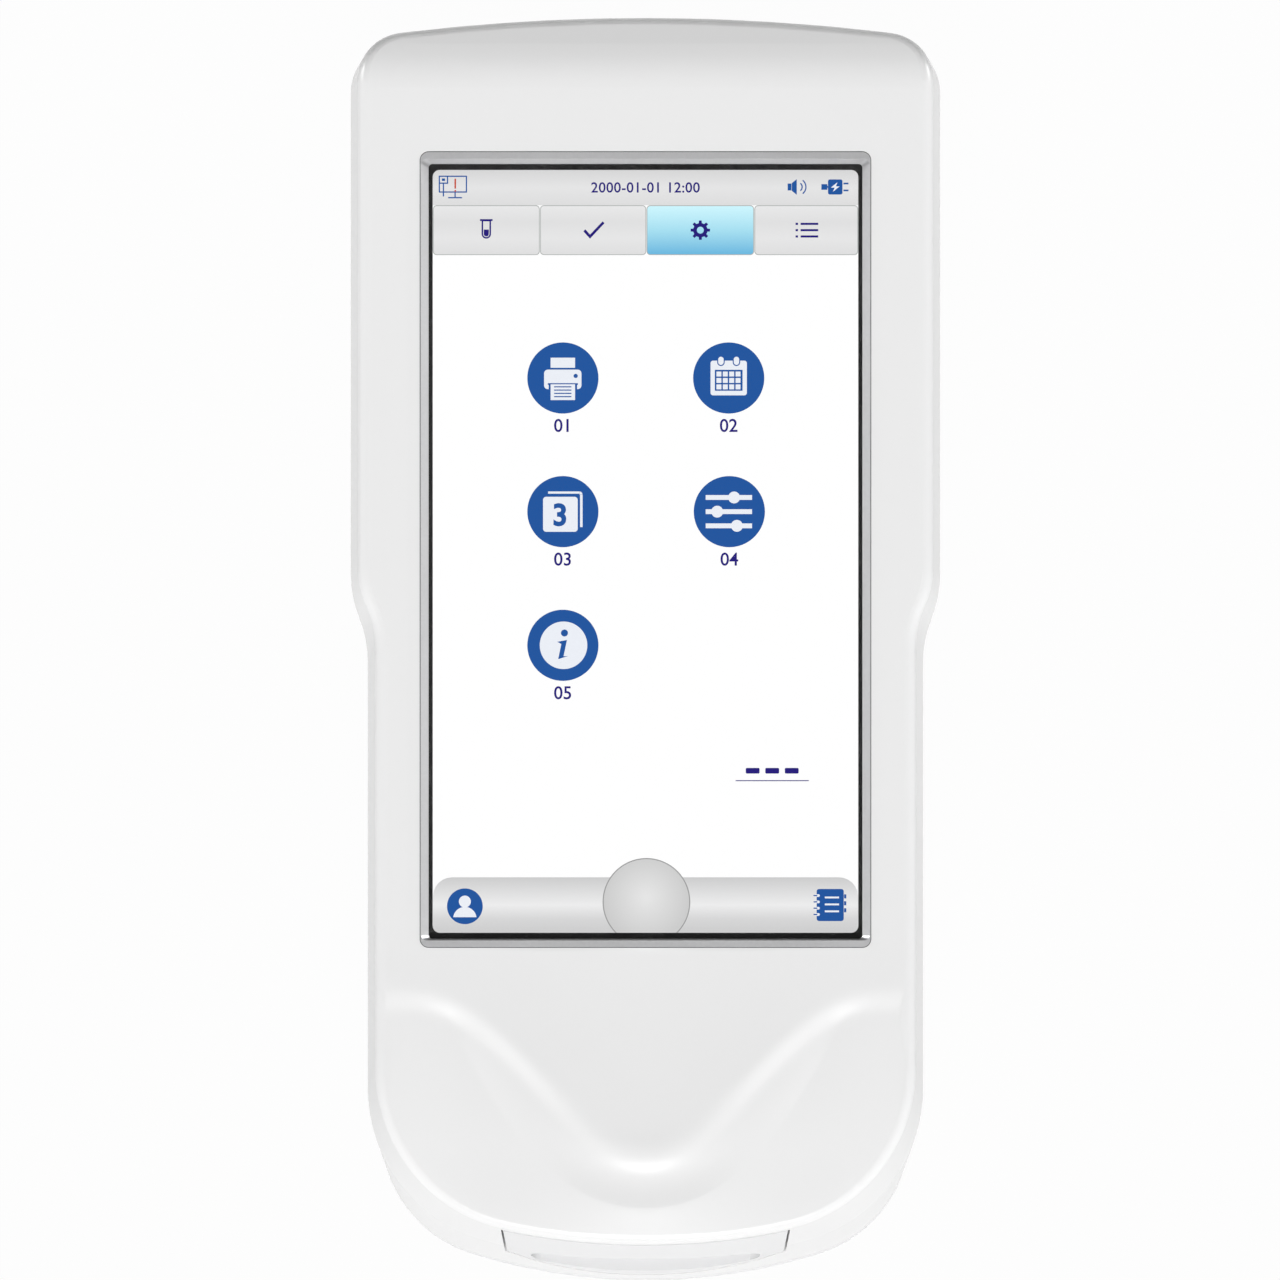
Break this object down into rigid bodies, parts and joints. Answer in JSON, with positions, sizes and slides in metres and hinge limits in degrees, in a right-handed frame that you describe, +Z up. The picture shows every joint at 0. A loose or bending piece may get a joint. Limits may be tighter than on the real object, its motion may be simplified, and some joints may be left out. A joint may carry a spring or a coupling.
{
  "type": "biochemistry analyzer",
  "caption": "Hand-sized desktop analyzer with a large touch screen on a sloping deck and a test drawer in its rounded nose",
  "frame": {"origin": "centre of the footprint on the table, under the rubber feet", "axes": "+X across the screen, +Y from the drawer towards the head end, +Z up"},
  "size_m": [0.0936, 0.194, 0.0642],
  "materials": {
    "housing_white": "white moulded plastic, semi-gloss",
    "button_grey": "light grey moulded",
    "foot_rubber": "dark rubber",
    "screw_steel": "zinc plated",
    "bezel_silver": "satin silver",
    "screen_glass": "clear, black printed edge",
    "gasket_foam": "black foam",
    "display_cell": "lit display, light background",
    "inner_black": "black moulded",
    "board_green": "green circuit board",
    "shield_tin": "tinned sheet",
    "flex_amber": "amber film",
    "battery_sleeve": "shrink sleeve",
    "window_dark": "dark red window",
    "tray_grey": "light grey moulded",
    "chassis_steel": "folded zinc plated sheet",
    "plate_aluminium": "machined",
    "contact_gold": "gold plated"
  },
  "bodies": {
    "housing": {"upper_cover": "housing_white", "lower_housing": "housing_white", "rubber_feet": "foot_rubber", "case_screws": "screw_steel", "display_bezel": "bezel_silver", "touch_panel": "screen_glass", "display_gasket": "gasket_foam", "lcd_module": "display_cell", "display_bracket": "inner_black", "bracket_screws": "screw_steel", "main_board": "board_green", "board_screws": "screw_steel", "board_shields": "shield_tin", "board_connectors": "inner_black", "display_flex": "flex_amber", "battery_pack": "battery_sleeve", "battery_contacts": "inner_black", "speaker": "inner_black", "io_board": "board_green", "io_screws": "screw_steel", "usb_socket": "shield_tin", "dc_socket": "inner_black", "power_switch": "inner_black", "scanner_window": "window_dark", "scanner_module": "inner_black", "left_rail": "inner_black", "right_rail": "inner_black", "module_frame": "chassis_steel", "module_screws": "screw_steel", "heater_plate": "plate_aluminium", "stepper_motor": "shield_tin", "guide_rods": "screw_steel", "drawer_switch": "inner_black", "detent_spring": "screw_steel"},
    "drawer": {"cartridge_tray": "tray_grey", "drawer_front": "housing_white"},
    "battery_door": {"battery_cover": "housing_white"},
    "button": {"power_button": "button_grey"},
    "screw": {"lead_screw": "screw_steel"},
    "press": {"press_carriage": "tray_grey", "sensor_head": "inner_black", "contact_pins": "contact_gold"}
  },
  "joints": [
    {"name": "drawer_slide", "type": "slide", "parent": "housing", "child": "drawer", "axis": [0, -1, 0], "range_m": [0, 0.046]},
    {"name": "battery_cover_slide", "type": "slide", "parent": "housing", "child": "battery_door", "axis": [0, 1, 0], "range_m": [0, 0.014]},
    {"name": "power_button_press", "type": "slide", "parent": "housing", "child": "button", "axis": [0, -1, 0], "range_m": [0, 0.0008], "stiffness_N_per_m": 400, "springref_m": -0.003},
    {"name": "screw_spin", "type": "hinge", "parent": "housing", "child": "screw", "pos_m": [0.0325, -0.05, 0.02], "axis": [0, 0, 1], "range_deg": [0, 1080]},
    {"name": "press_lift", "type": "slide", "parent": "housing", "child": "press", "axis": [0, 0, -1], "range_m": [0, 0.0036]}
  ],
  "couplings": [
    {"joint": "screw_spin", "follows": "press_lift", "rad_per_m": 5235.9}
  ]
}
